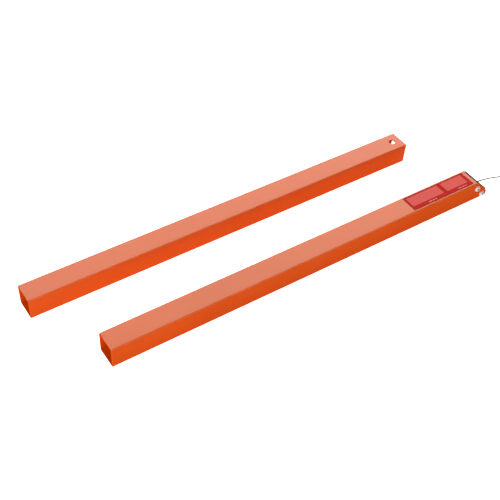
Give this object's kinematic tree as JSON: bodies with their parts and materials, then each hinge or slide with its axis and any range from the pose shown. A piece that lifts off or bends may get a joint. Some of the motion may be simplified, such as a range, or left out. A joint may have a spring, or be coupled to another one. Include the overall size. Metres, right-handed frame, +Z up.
{
  "type": "driveway marker post pair",
  "caption": "Pair of square steel marker posts lying side by side, one with a cross hole, one with a sloped nose closed by a black block, a blank label and a locking pin tethered on a wire rope",
  "frame": {"origin": "on the floor under the middle of the pair of posts, measured without the free rope and what is on it", "axes": "+X along the posts towards the sloped nose, +Y across the pair from the cable post to the plain post, +Z up"},
  "size_m": [1.5217, 0.4591, 0.0639],
  "materials": {
    "orange_paint": "satin powder coat",
    "label_red": "printed film",
    "black_nylon": "moulded nylon",
    "plain_steel": "turned",
    "zinc_steel": "bright zinc plate",
    "bush_brass": "turned",
    "ferrule_aluminium": "pressed",
    "wire_rope": "galvanised strands",
    "pin_steel": "zinc plate"
  },
  "bodies": {
    "cable_post": {"cable_post": "orange_paint", "label_plate": "label_red", "nose_block": "black_nylon", "rope_bush": "bush_brass", "cross_sleeves": "plain_steel", "near_screws": "zinc_steel", "far_screws": "zinc_steel"},
    "plain_post": {"plain_post": "orange_paint"},
    "rope": {"rope_inner": "wire_rope", "stop_washer": "zinc_steel", "stop_ferrule": "ferrule_aluminium", "rope_tail": "wire_rope", "eye_ferrule": "ferrule_aluminium", "eye_loop": "wire_rope"},
    "pin": {"locking_pin": "pin_steel"}
  },
  "joints": [
    {"name": "post_lift", "type": "slide", "parent": "cable_post", "child": "plain_post", "axis": [0, 0, 1], "range_m": [0, 0.3]},
    {"name": "rope_draw", "type": "slide", "parent": "cable_post", "child": "rope", "axis": [1, 0, 0], "range_m": [0, 0.04]},
    {"name": "pin_swing", "type": "hinge", "parent": "rope", "child": "pin", "pos_m": [0.8555, -0.2925, 0.015], "axis": [0, 0, 1], "range_deg": [-20, 90]}
  ]
}
